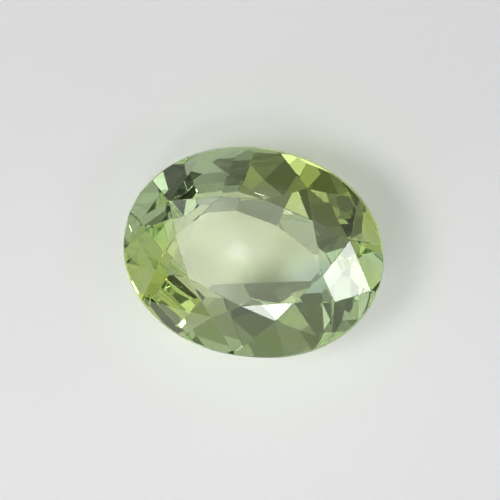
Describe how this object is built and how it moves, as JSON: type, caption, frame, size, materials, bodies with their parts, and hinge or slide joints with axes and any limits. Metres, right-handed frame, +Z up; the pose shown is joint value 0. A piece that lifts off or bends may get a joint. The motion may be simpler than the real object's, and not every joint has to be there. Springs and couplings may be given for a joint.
{
  "type": "oval cut sapphire",
  "caption": "Loose oval gemstone with a flat table, a faceted crown, a thin girdle and a shallow pavilion, lying on the broad flat across its underside.",
  "frame": {"origin": "middle of the bounding box at the level of the surface that the stone lies on", "axes": "+X along the long axis of the oval, +Z up, and the table leans a few degrees towards -X and -Y"},
  "size_m": [0.006, 0.0048, 0.0023],
  "materials": {
    "sapphire": "clear yellow-green to blue-green crystal with polished flats"
  },
  "bodies": {
    "root": {"sapphire": "sapphire"}
  },
  "joints": []
}
